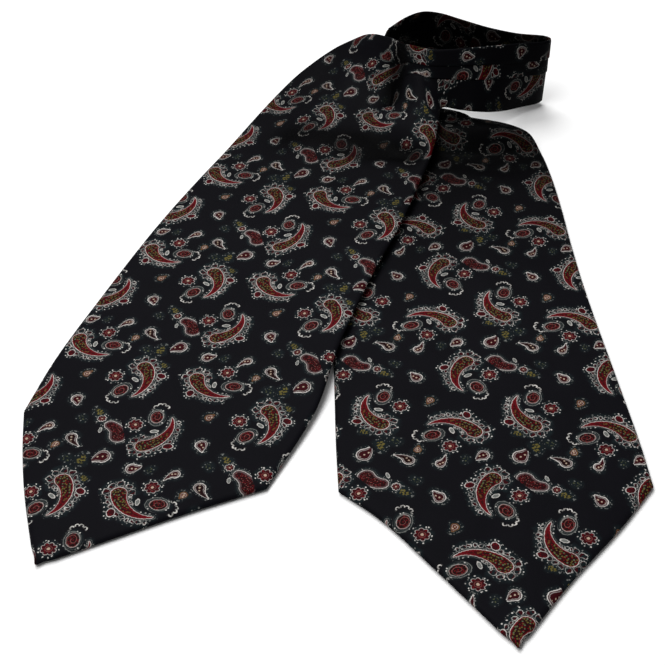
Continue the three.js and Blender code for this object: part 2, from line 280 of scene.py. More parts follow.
@dataclass
class Strand:
    """One half of the strip as a closed, hemmed shell of silk, from its hidden inner end to its point."""

    name: str
    sections: tuple[Section, ...]
    point_sections: tuple[Section, ...]
    side: float
    print_origin: tuple[float, float]
    print_up: tuple[float, float]
    wrinkles: tuple[Crease, ...]
    row_step: float = 2.4
    across: int = 61
    roll_steps: int = 7
    hem_steps: int = 4
    silk: float = 0.6
    band_half: float = 1.5
    blade_rise: float = 2.6
    crown: float = 1.5
    edge_rise: float = 0.6
    blade_floor: float = 0.25
    roll_blade: float = 3.0
    roll_band: float = 1.6
    hem_width: float = 8.0
    hem_lift: float = 0.95
    pleat_step: float = 0.6
    full_width: float = 140.0
    pleat_folds: tuple[float, ...] = (0.0, 0.5, 0.74)
    grid_steps: int = 120

    def rows(self) -> RowSet:
        """Spaces rows evenly along the body and down the point.

        Returns:
            The rows, with their edges and the numbers that shape them.
        """
        body = self._spaced(self.sections, self.row_step)
        point = self._spaced(self.point_sections, self.row_step)[1:]
        tables = ((self.sections, body), (self.point_sections, point))
        near, far = (np.vstack([self._edge(table, edge).at(places) for table, places in tables])
                     for edge in ("near", "far"))
        rest = np.ones(len(point))
        rows = RowSet(
            near=near, far=far,
            sag=np.concatenate([self._read("sag", body), rest * self.sections[-1].sag]),
            bulge=np.concatenate([self._read("bulge", body), rest * 0.0]),
            blade=np.concatenate([self._read("blade", body), rest]),
            share=np.concatenate([self._read("body", body) / LAST_BODY_ROW, rest]),
            point=np.concatenate([body * 0.0, point / (len(self.point_sections) - 1)]),
            pleated=np.concatenate([self._read("pleated", body), rest * 0.0]),
            sine=np.zeros((len(near), 2)))
        across = unit(rows.far - rows.near)
        for column, edge in enumerate((rows.near, rows.far)):
            sine = np.linalg.norm(np.cross(unit(np.gradient(edge, axis=0)), across), axis=1)
            smooth = np.convolve(np.pad(sine, 2, "edge"), np.ones(5) / 5, "valid")
            rows.sine[:, column] = np.clip(smooth, 0.45, 1)
        return rows

    def _edge(self, sections: tuple[Section, ...], edge: str) -> EdgeCurve:
        """Gives the curve along one edge of a table of sections."""
        return EdgeCurve(np.array([getattr(section, edge) for section in sections]))

    def _read(self, column: str, places: np.ndarray) -> np.ndarray:
        """Reads a column of the body's table between its rows.

        Args:
            column: The field's name, or "blade" for how far the cloth is a blade.
            places: Places along the table, counted in rows from 0.

        Returns:
            The column's value at each place.
        """
        if column == "blade":
            values = [section.cloth.value for section in self.sections]
        else:
            values = [getattr(section, column) for section in self.sections]
        return np.interp(places, np.arange(len(values)), values)

    def _spaced(self, sections: tuple[Section, ...], step: float) -> np.ndarray:
        """Finds places along a table that are about one step apart on the cloth.

        Args:
            sections: The table.
            step: The wanted distance between rows.

        Returns:
            Places, counted in rows of the table from 0.
        """
        fine = np.linspace(0, len(sections) - 1, 60 * len(sections))
        lines = [self._edge(sections, edge).at(fine) for edge in ("near", "far")]
        middle = 0.5 * (lines[0] + lines[1])
        steps = [np.linalg.norm(np.diff(line, axis=0), axis=1) for line in (*lines, middle)]
        pace = 0.25 * steps[0] + 0.25 * steps[1] + 0.5 * steps[2]
        run = np.concatenate([[0.0], np.cumsum(pace)])
        count = int(round(run[-1] / step))
        return np.interp(np.linspace(0, run[-1], count + 1), run, fine)

    def height(self, rows: RowSet, place: np.ndarray, across: np.ndarray) -> np.ndarray:
        """Gives the reference height of the cloth; each strand has its own."""
        raise NotImplementedError

    def grid(self, rows: RowSet) -> tuple[np.ndarray, np.ndarray]:
        """Works out the reference surface and its normals on even shares across each row.

        Args:
            rows: The strand's rows.

        Returns:
            Places and normals, each rows x (grid_steps + 1) x 3, in plan millimetres.
        """
        across = np.linspace(0, 1, self.grid_steps + 1)[None, :]
        place = rows.near[:, None, :] + (rows.far - rows.near)[:, None, :] * across[:, :, None]
        place[:, :, 2] = self.height(rows, place, across)
        along = np.gradient(place, axis=0)
        athwart = np.gradient(place, axis=1)
        normal = np.cross(along, athwart) * self.side
        normal = normal / np.maximum(np.linalg.norm(normal, axis=2), 1e-9)[:, :, None]
        return place, normal

    def at(self, table: np.ndarray, across: np.ndarray) -> np.ndarray:
        """Reads a grid at any share across each row.

        Args:
            table: A grid, rows x (grid_steps + 1) x 3.
            across: Shares across, rows x n.

        Returns:
            The values, rows x n x 3.
        """
        spot = np.clip(across, 0, 1) * self.grid_steps
        index = np.clip(np.floor(spot).astype(int), 0, self.grid_steps - 1)
        weight = (spot - index)[:, :, None]
        low = np.take_along_axis(table, index[:, :, None], axis=1)
        high = np.take_along_axis(table, index[:, :, None] + 1, axis=1)
        return low * (1 - weight) + high * weight

    def _pleat_columns(self) -> tuple[np.ndarray, np.ndarray, list[int]]:
        """Lays the top's columns over the pleats.

        Returns:
            Each column's share across, its rise as a share of the pleat step, and each pleat's last column.
        """
        folds = [*self.pleat_folds, 1.0]
        counts = [int(round((b - a) * self.across)) for a, b in zip(folds, folds[1:])]
        counts[-1] += self.across - sum(counts)
        shares, rises, ends = [], [], []
        for index, count in enumerate(counts):
            low, top = folds[index], folds[index + 1]
            tuck = 0.035 if index + 2 < len(folds) else 0.0
            share = np.linspace(low, top + tuck, count)
            if index:
                head = np.array([low + 0.02, low - 0.004, low - 0.008, low + 0.006])
                share = np.concatenate([head, np.linspace(low + 0.03, top + tuck, count - 4)])
            rise = 1 - np.clip((share - low) / (top - low), 0, 1)
            if index:
                rise[:4] = [0.2, 0.3, 0.75, 1.0]
            shares.append(share)
            rises.append(rise - 0.12 * (share > top))
            ends.append(sum(counts[:index + 1]) - 1)
        return np.concatenate(shares), np.concatenate(rises), ends[:-1]

    def shell(self) -> tuple[np.ndarray, np.ndarray]:
        """Builds the hemmed shell's rings, each with its outside half first.

        Returns:
            Points (rows x ring x 3, plan millimetres) and cloth places (rows x ring x 2).
        """
        rows = self.rows()
        place, normal = self.grid(rows)
        width = np.linalg.norm(rows.far - rows.near, axis=1)
        blade = smoothstep(rows.blade, 0.0, 1.0)
        roll = self.roll_band + (self.roll_blade - self.roll_band) * blade
        share_near, share_far = np.minimum(roll / rows.sine.T / width, ROLL_SHARE_LIMIT)

        even = np.linspace(0, 1, self.across)
        pleat_share, pleat_rise, ends = self._pleat_columns()
        pleated = rows.pleated[:, None]
        column = even[None, :] * (1 - pleated) + pleat_share[None, :] * pleated
        across = share_near[:, None] + (1 - share_near - share_far)[:, None] * column
        top = self._top(rows, place, across, blade)
        top += pleated * self.pleat_step * (pleat_rise - 1.0)[None, :] * (1 - 0.35 * blade[:, None])
        low = (-self.band_half + (self.blade_floor + self.band_half) * blade)[:, None]
        lift = (self.hem_lift - self.blade_floor) * blade[:, None]

        base = self.at(place, across)
        lean = self.at(normal, across)
        front = base + lean * top[:, :, None]
        ahead = self.at(place, across + 0.02) - self.at(place, across - 0.02)
        ahead = ahead / np.linalg.norm(ahead, axis=2)[:, :, None]
        cloth = self._cloth(rows, front, lean, ahead, ends, pleated[:, 0])

        widest = 0.5 * width - 0.3
        hem = np.minimum(self.hem_width + (widest - self.hem_width) * (1 - blade), widest)
        hem = np.maximum(hem, share_near * width + 0.2)
        grids, heights = (place, normal), (low[:, 0], lift[:, 0])
        sides = [self._edge_roll(grids, share, width, top[:, end], heights, hem, sign)
                 for end, share, sign in ((0, share_near, 1.0), (-1, share_far, -1.0))]
        outer, inner, cloth_ring = self._ring(front, base, lean, top, cloth, sides)
        ring = np.concatenate([outer, inner[:, ::-1]], axis=1)
        uv = np.concatenate([cloth_ring, cloth_ring[:, ::-1]], axis=1)
        return self._round_tip(ring), uv

    def _top(self, rows: RowSet, place: np.ndarray, across: np.ndarray,
             blade: np.ndarray) -> np.ndarray:
        """Gives the printed face's height over the reference surface.

        Args:
            rows: The strand's rows.
            place: The reference grid.
            across: Shares across, rows x n.
            blade: How far each row is a blade.

        Returns:
            Heights, rows x n.
        """
        crown = self.crown * smoothstep(rows.share, 0.05, 0.35) * (1 - 0.7 * smoothstep(rows.point, 0, 1))
        rounded = 1 - (2 * across - 1) ** 4
        spot = self.at(place, across)
        open_cloth = smoothstep(rows.share, 0.2, 0.45)[:, None] * smoothstep(rounded, 0.0, 0.25)
        wrinkle = relief(self.wrinkles, spot[:, :, 0], spot[:, :, 1]) * open_cloth
        flat = self.blade_rise + self.edge_swell(rows, spot) + crown[:, None] * rounded + wrinkle
        return self.band_half + (flat - self.band_half) * blade[:, None]

    def edge_swell(self, rows: RowSet, spot: np.ndarray) -> np.ndarray:
        """Gives how much thicker than its solid the blade is; each strand may change it."""
        return self.edge_rise * smoothstep(rows.share, 0.1, 0.4)[:, None] * np.ones(spot.shape[:2])

    def _edge_roll(self, grids: tuple[np.ndarray, np.ndarray], share: np.ndarray, width: np.ndarray,
                   top: np.ndarray, heights: tuple[np.ndarray, np.ndarray], hem: np.ndarray,
                   sign: float) -> tuple[np.ndarray, np.ndarray]:
        """Rolls the cloth over one edge and returns it underneath as a hem.

        Args:
            grids: The reference grid and its normals.
            share: The roll's width as a share of each row.
            width: Each row's width.
            top: The printed face's height where the roll starts.
            heights: The underside's height at the edge, and how much higher the hem's inner edge lies.
            hem: The hem's width.
            sign: 1 at the near edge, -1 at the far edge.

        Returns:
            The outside points and the inside points, from the top's end to the hem's inner edge.
        """
        low, lift = heights
        steps = np.linspace(0, math.pi, self.roll_steps + 2)[1:]
        share_out = share[:, None] * (1 - np.sin(steps)[None, :])
        middle = 0.5 * (top + low)[:, None]
        half = 0.5 * (top - low)[:, None]
        rise_out = middle + half * np.cos(steps)[None, :]
        run = np.linspace(0, 1, self.hem_steps + 1)[None, 1:]
        hem_share = (hem / width)[:, None]
        share_hem = share[:, None] + (hem_share - share[:, None]) * run
        rise_hem = low[:, None] + lift[:, None] * np.clip(run * 2.0, 0, 1)
        outer_share = np.concatenate([share_out, share_hem], axis=1)
        outer_rise = np.concatenate([rise_out, rise_hem], axis=1)
        silk = np.minimum(self.silk, 0.4 * (top - low))[:, None]
        shrink = silk / np.maximum(half, 0.1)
        share_in = share[:, None] * (1 - (1 - shrink) * np.sin(steps)[None, :])
        inner_share = np.concatenate([share_in, share_hem], axis=1)
        rise_in = middle + (half - silk) * np.cos(steps)[None, :]
        inner_rise = np.concatenate([rise_in, rise_hem + silk], axis=1)
        points = []
        for shares, rises in ((outer_share, outer_rise), (inner_share, inner_rise)):
            shares = shares if sign > 0 else 1 - shares
            points.append(self.at(grids[0], shares) + self.at(grids[1], shares) * rises[:, :, None])
        return points[0], points[1]

    def _ring(self, front: np.ndarray, base: np.ndarray, lean: np.ndarray, top: np.ndarray,
              cloth: np.ndarray, sides: list[tuple[np.ndarray, np.ndarray]]
              ) -> tuple[np.ndarray, np.ndarray, np.ndarray]:
        """Joins the near hem, the printed face and the far hem, outside and inside.

        Args:
            front: The printed face's points.
            base: The reference surface under them.
            lean: Its normals.
            top: The printed face's heights.
            cloth: The printed face's places on the cloth.
            sides: The near and the far roll, outside and inside.

        Returns:
            The outside path, the inside path and the outside path's places on the cloth.
        """
        near_out, near_in = sides[0]
        far_out, far_in = sides[1]
        smooth = top.copy()
        for _ in range(3):
            between = 0.5 * (smooth[:, :-2] + smooth[:, 2:])
            smooth[:, 1:-1] = np.minimum(smooth[:, 1:-1], between)
        face_in = base + lean * (smooth - self.silk)[:, :, None]
        outer = np.concatenate([near_out[:, ::-1], front, far_out], axis=1)
        inner = np.concatenate([near_in[:, ::-1], face_in, far_in], axis=1)
        parts = []
        for points, end, step in ((near_out, 0, 1), (far_out, -1, -1)):
            chain = np.concatenate([front[:, end][:, None], points], axis=1)
            run = np.cumsum(np.linalg.norm(np.diff(chain, axis=1), axis=2), axis=1)
            outward = unit(cloth[:, end] - cloth[:, end + step])
            parts.append(cloth[:, end][:, None] + outward[:, None] * run[:, :, None])
        return outer, inner, np.concatenate([parts[0][:, ::-1], cloth, parts[1]], axis=1)

    def flat_cloth(self, points: np.ndarray) -> np.ndarray:
        """Lays points of the plan flat on the cloth, in the print's own directions.

        Args:
            points: Plan points, in millimetres.

        Returns:
            Their places on the cloth.
        """
        up = np.array(self.print_up)
        right = np.array([up[1], -up[0]])
        plan = points[..., :2]
        return np.stack([plan @ right, plan @ up], axis=-1) - np.array(self.print_origin)

    def _cloth(self, rows: RowSet, front: np.ndarray, lean: np.ndarray, ahead: np.ndarray,
               ends: list[int], pleated: np.ndarray) -> np.ndarray:
        """Lays the printed face flat: the blade from the plan, the band by relaxing a net of threads.

        Args:
            rows: The strand's rows.
            front: The printed face's points.
            lean: The face's normals.
            ahead: The direction across each row, from near to far.
            ends: The columns that end a pleat.
            pleated: How far each row is pleated.

        Returns:
            Places on the cloth, rows x columns x 2, in millimetres.
        """
        cloth = self.flat_cloth(front)
        first = int(np.argmax(rows.share >= 0.5))
        width = np.linalg.norm(rows.far - rows.near, axis=1)
        hidden = np.maximum(self.full_width - width, 0) / 2 * smoothstep(pleated, 0, 1)
        jump = np.zeros((len(front), front.shape[1] - 1))
        jump[:, ends] = hidden[:, None]
        onward = np.cross(lean, ahead)
        for row in range(first - 1, -1, -1):
            step = front[row] - front[row + 1]
            du = np.sum(step * ahead[row + 1], axis=1)
            dv = np.sum(step * onward[row + 1], axis=1)
            cloth[row] = self._next_row(cloth[row + 1], du, dv, front[row], jump[row])
        free = np.zeros(front.shape[:2], bool)
        free[:first] = True
        return self._relax(front, cloth, free, jump)

    def _next_row(self, known: np.ndarray, du: np.ndarray, dv: np.ndarray, points: np.ndarray,
                  jump: np.ndarray) -> np.ndarray:
        """Guesses a row's places on the cloth from the row after it.

        Args:
            known: The row after it, on the cloth.
            du: How far each point lies along that row.
            dv: How far each point lies square to that row.
            points: The row's points.
            jump: Cloth hidden in pleats between columns.

        Returns:
            The row's places on the cloth.
        """
        flat = np.gradient(known, axis=0)
        for _ in range(4):
            flat[1:-1] = (flat[:-2] + flat[1:-1] + flat[2:]) / 3
        flat = unit(flat)
        square = np.stack([-flat[:, 1], flat[:, 0]], axis=1)
        guess = known + du[:, None] * flat + dv[:, None] * square
        lengths = np.linalg.norm(np.diff(points, axis=0), axis=1) + jump
        directions = unit(0.5 * (unit(np.diff(guess, axis=0)) + flat[:-1]))
        spaced = np.vstack([[0.0, 0.0], np.cumsum(directions * lengths[:, None], axis=0)])
        return spaced + np.mean(guess - spaced, axis=0)

    def _relax(self, front: np.ndarray, cloth: np.ndarray, free: np.ndarray, jump: np.ndarray) -> np.ndarray:
        """Evens out the cloth's threads until each is about as long as on the strand.

        Args:
            front: The printed face's points.
            cloth: First places on the cloth.
            free: Which places may move.
            jump: Cloth hidden in pleats between columns.

        Returns:
            The relaxed places on the cloth.
        """
        links = []
        for di, dj in ((0, 1), (1, 0), (1, 1), (1, -1)):
            a = (slice(0, front.shape[0] - di), slice(max(0, -dj), front.shape[1] - max(0, dj)))
            b = (slice(di, front.shape[0]), slice(max(0, dj), front.shape[1] + min(0, dj)))
            rest = np.linalg.norm(front[b] - front[a], axis=2)
            gap = np.zeros_like(rest)
            if dj:
                gap = jump[a[0], :] if di == 0 else 0.5 * (jump[:-1] + jump[1:])
            links.append((a, b, np.hypot(rest, gap) if di else rest + gap, 1.0 if di * dj == 0 else 0.5))
        for _ in range(RELAX_ROUNDS):
            move = np.zeros_like(cloth)
            weight = np.full(cloth.shape[:2], 1e-6)
            for a, b, rest, stiff in links:
                gap = cloth[b] - cloth[a]
                length = np.maximum(np.linalg.norm(gap, axis=2), 1e-6)
                pull = (0.5 * stiff * (length - rest) / length)[:, :, None] * gap
                move[a] += pull
                move[b] -= pull
                weight[a] += stiff
                weight[b] += stiff
            cloth = cloth + np.where(free[:, :, None], RELAX_STEP * move / weight[:, :, None], 0.0)
        return cloth

    def _round_tip(self, ring: np.ndarray) -> np.ndarray:
        """Draws the last rows in, so that the point is rounded like the edges.

        Args:
            ring: The shell's rings.

        Returns:
            The rings with a rounded point.
        """
        ring = ring.copy()
        centre = ring[-1].mean(axis=0)
        for back, draw in ((0, 0.35), (1, 0.75), (2, 0.93)):
            middle = ring[-1 - back].mean(axis=0)
            middle[2] = 0.5 * (ring[-1 - back][:, 2].max() + ring[-1 - back][:, 2].min())
            ring[-1 - back] = middle + (ring[-1 - back] - middle) * draw
        ring[-1] += 0.3 * (centre - ring[-3].mean(axis=0))
        return ring

    def build(self) -> bpy.types.Object:
        """Makes the strand's mesh."""
        ring, cloth = self.shell()
        # The mesh carries each point's painted shade along with its place on the cloth.
        return make_mesh(self.name, ring, cloth, self.painted_shade(self.rows(), ring))

    def painted_shade(self, rows: RowSet, ring: np.ndarray) -> np.ndarray:
        """Gives the painted shade on the print at each point, from 0 to 1; each strand has its own."""
        raise NotImplementedError


@dataclass
class OverStrand(Strand):
    """The pleated band and the blade that crosses on top."""

    folds: tuple[Crease, ...] = OVER_FOLDS
    cover_lift: float = 4.2
    neck_lift: float = 8.5
    cover_ramp: float = 36.0

    def height(self, rows: RowSet, place: np.ndarray, across: np.ndarray) -> np.ndarray:
        """Gives the height of the cloth, held up by what lies under it.

        Args:
            rows: The strand's rows.
            place: Plan places between the edges.
            across: Shares across.

        Returns:
            Heights, rows x columns.
        """
        near = np.maximum(rows.near[:, 2], 0)[:, None]
        far = np.maximum(rows.far[:, 2], 0)[:, None]
        sag = rows.sag[:, None]
        edges = near * (1 - across) ** sag + far * across**sag
        edges = edges + bulged(across, rows.bulge)
        x, y = place[:, :, 0], place[:, :, 1]
        folds = relief(self.folds, x, y) * smoothstep(rows.share, 0.03, 0.2)[:, None]
        onto = smoothstep(x, -self.cover_ramp - 2, -2)
        end = smoothstep(y, -78, -44)
        lift = self.cover_lift + (self.neck_lift - self.cover_lift) * smoothstep(y, 150, 190)
        held = lift * onto * end * (1 - 0.5 * np.minimum(edges / 12, 1)) * rows.blade[:, None]
        return np.hypot(np.maximum(edges + folds, 0), held)

    def painted_shade(self, rows: RowSet, ring: np.ndarray) -> np.ndarray:
        """Gives the painted shade on the print: most inside the loop, then on the band, up the blade and in
        fold hollows, less on fold ridges.

        Args:
            rows: The strand's rows.
            ring: The shell's points.

        Returns:
            Painted shade shares, from 0 on the lower blade to 0.94 inside the loop.
        """
        reach = 0.5 * (rows.near[:, 0] + rows.far[:, 0])
        far_side = np.arange(len(reach)) < int(np.argmax(reach * (1 - rows.blade)))
        up = 0.5 * (rows.near[:, 1] + rows.far[:, 1])
        # Painted shade: the band's front is darker towards the crease, the loop's back rows are half dark,
        # and the blade is darker further up.
        front = rows.pleated * (0.48 + 0.2 * smoothstep(reach, 60, 140))
        plain = np.where(far_side, 0.5, np.maximum(front, 0.4 * smoothstep(up, 60, 220)))[:, None]
        column, outer = np.arange(ring.shape[1]), ring.shape[1] // 2
        under = self.hem_steps + (self.roll_steps + 1) // 2
        within = (column < under) | (column >= outer - under)
        # Painted shade, nearly black, on the undersides and inside faces of pleated rows.
        plain = np.maximum(plain, 0.93 * rows.pleated[:, None] * within)
        # Painted shade in fold hollows, and a painted highlight that takes shade off fold ridges.
        folds = relief(self.folds, ring[:, :, 0], ring[:, :, 1]) * (1 - far_side[:, None])
        hollow_shade, ridge_highlight = np.clip(-folds / 3, 0, 1), np.clip(folds / 4, 0, 1)
        return np.clip(plain + 0.5 * hollow_shade - 0.2 * ridge_highlight, 0.0, DARKEST_PAINTED_SHADE)


@dataclass
class UnderStrand(Strand):
    """The stretch that turns down under the crossing, and the blade that lies beneath."""

    roll_height: float = 11.0
    roll_foot: float = 165.0
    roll_top: float = 186.0

    def height(self, rows: RowSet, place: np.ndarray, across: np.ndarray) -> np.ndarray:
        """Gives the height of the cloth, with the roll where it comes off its pleats.

        Args:
            rows: The strand's rows.
            place: Plan places between the edges.
            across: Shares across.

        Returns:
            Heights, rows x columns.
        """
        band = rows.near[:, 2][:, None] * (1 - across) + rows.far[:, 2][:, None] * across
        band = band + bulged(across, rows.bulge)
        roll = smoothstep(place[:, :, 1], self.roll_foot, self.roll_top)
        left = smoothstep(across, 0.42, 0.66)
        right = 1 - 0.45 * smoothstep(across, 0.8, 1)
        blade = smoothstep(rows.blade, 0.0, 1.0)[:, None]
        return band * (1 - blade) + self.roll_height * roll * left * right * blade

    def painted_shade(self, rows: RowSet, ring: np.ndarray) -> np.ndarray:
        """Gives the painted shade on the print at each point, from 0 to 1: darker up the blade, and most
        under the crossing.
        """
        x, y = ring[:, :, 0], ring[:, :, 1]
        # Painted shade: darker further up the blade, darkest where the band's shadow falls under the
        # crossing.
        return 0.36 * smoothstep(y, 0, 110) + 0.52 * smoothstep(y - 0.15 * x, 85, 150)

    def edge_swell(self, rows: RowSet, spot: np.ndarray) -> np.ndarray:
        """Keeps the covered part as thin as its solid, under the other blade.

        Args:
            rows: The strand's rows.
            spot: Plan places.

        Returns:
            Added thickness, rows x columns.
        """
        open_part = np.maximum(smoothstep(spot[:, :, 0], 62, 92), smoothstep(-spot[:, :, 1], 48, 90))
        thicker = self.edge_rise * smoothstep(rows.share, 0.1, 0.4)[:, None]
        return thicker * open_part - 0.25 * (1 - open_part)


@dataclass
class BackPanel:
    """The silk panel on a blade's hidden side, set in from the edge."""

    name: str
    strand: Strand
    inset: float = 5.5
    silk: float = 0.55
    across: int = 48
    first_share: float = 0.12

    def build(self) -> bpy.types.Object:
        """Makes the panel's mesh from its strand's reference surface.

        Returns:
            The new object.
        """
        rows = self.strand.rows()
        place, normal = self.strand.grid(rows)
        width = np.linalg.norm(rows.far - rows.near, axis=1)
        keep = (rows.share >= self.first_share) & (width > 3.2 * self.inset)
        share = (self.inset / rows.sine / width[:, None])[keep]
        place, normal = place[keep], normal[keep]
        steps = np.linspace(0, 1, self.across)
        across = share[:, :1] + (1 - share[:, :1] - share[:, 1:]) * steps[None, :]
        edge = np.clip(np.minimum(steps, 1 - steps) * width[keep][:, None] / 3.0, 0, 1)
        thick = self.silk + 0.15 * np.sin(edge * math.pi)
        thick = thick * np.where(edge <= 0, 0.5, 1.0)
        base, lean = self.strand.at(place, across), self.strand.at(normal, across)
        under = base + lean * PANEL_LIFT
        over = base + lean * (PANEL_LIFT + thick)[:, :, None]
        ring = np.concatenate([over, under[:, ::-1]], axis=1)
        cloth = self.strand.flat_cloth(ring) + np.array(PANEL_PRINT_SHIFT)
        return make_mesh(self.name, ring, cloth, np.zeros(ring.shape[:2]))


def ring_faces(count: int, size: int) -> list[list[int]]:
    """Joins rings into a closed shell, with caps that join each end ring's two halves.

    Args:
        count: The number of rings.
        size: The number of points in a ring.

    Returns:
        The point numbers of each face.
    """
    start = np.arange(count - 1)[:, None] * size
    one = np.arange(size)[None, :]
    two = np.roll(one, -1, axis=1)
    corners = [start + one, start + two, start + two + size, start + one + size]
    faces = np.stack(corners, axis=-1).reshape(-1, 4).tolist()
    for base in (0, (count - 1) * size):
        for i in range(size // 2 - 1):
            faces.append([base + i, base + i + 1, base + size - 2 - i, base + size - 1 - i])
    return faces


def make_mesh(name: str, ring: np.ndarray, cloth: np.ndarray, painted_shade_share: np.ndarray) -> bpy.types.Object:
    """Makes a smooth mesh object that carries its places on the cloth and its painted shade.

    Args:
        name: The object's name.
        ring: Plan points in millimetres, rings x points x 3.
        cloth: Places on the cloth, in millimetres.
        painted_shade_share: The painted shade on the print, from 0 to 1.

    Returns:
        The new object, with its faces turned outwards.
    """
    points = ring.reshape(-1, 3)
    points = np.column_stack([points[:, :2], np.maximum(points[:, 2], FLOOR_GAP)])
    faces = ring_faces(*ring.shape[:2])
    mesh = bpy.data.meshes.new(name)
    mesh.from_pydata(((points + PLAN_TO_FRAME) * MM).tolist(), [], faces)
    mesh.validate()
    corners = points[np.array([face[:3] for face in faces])]
    volume = np.einsum("ij,ij->", corners[:, 0], np.cross(corners[:, 1], corners[:, 2]))
    if volume < 0:
        mesh.flip_normals()
    # The attribute's third number is painted shade: it darkens the print where shade falls.
    layer = mesh.attributes.new("cloth", "FLOAT_VECTOR", "POINT")
    layer.data.foreach_set("vector", np.dstack([cloth, painted_shade_share]).ravel())
    mesh.shade_smooth()
    mesh.update()
    item = bpy.data.objects.new(name, mesh)
    bpy.context.scene.collection.objects.link(item)
    return item


@dataclass(frozen=True)
class Value:
    """A socket of a material's nodes that can be used in an expression."""

    graph: "Graph"
    socket: bpy.types.NodeSocket

    def __add__(self, other: "Value | float") -> "Value":
        """Adds."""
        return self.graph.math("ADD", self, other)

    def __radd__(self, other: float) -> "Value":
        """Adds to a number."""
        return self.graph.math("ADD", other, self)

    def __sub__(self, other: "Value | float") -> "Value":
        """Subtracts."""
        return self.graph.math("SUBTRACT", self, other)

    def __rsub__(self, other: float) -> "Value":
        """Subtracts from a number."""
        return self.graph.math("SUBTRACT", other, self)

    def __mul__(self, other: "Value | float") -> "Value":
        """Multiplies."""
        return self.graph.math("MULTIPLY", self, other)

    def __rmul__(self, other: float) -> "Value":
        """Multiplies a number."""
        return self.graph.math("MULTIPLY", other, self)

    def __truediv__(self, other: "Value | float") -> "Value":
        """Divides."""
        return self.graph.math("DIVIDE", self, other)

    def __pow__(self, other: float) -> "Value":
        """Raises to a power."""
        return self.graph.math("POWER", self, other)

    def __lt__(self, other: "Value | float") -> "Value":
        """Gives 1 where this is less, and 0 elsewhere."""
        return self.graph.math("LESS_THAN", self, other)

    def __gt__(self, other: "Value | float") -> "Value":
        """Gives 1 where this is greater, and 0 elsewhere."""
        return self.graph.math("GREATER_THAN", self, other)

    def __abs__(self) -> "Value":
        """Drops the sign."""
        return self.graph.math("ABSOLUTE", self)


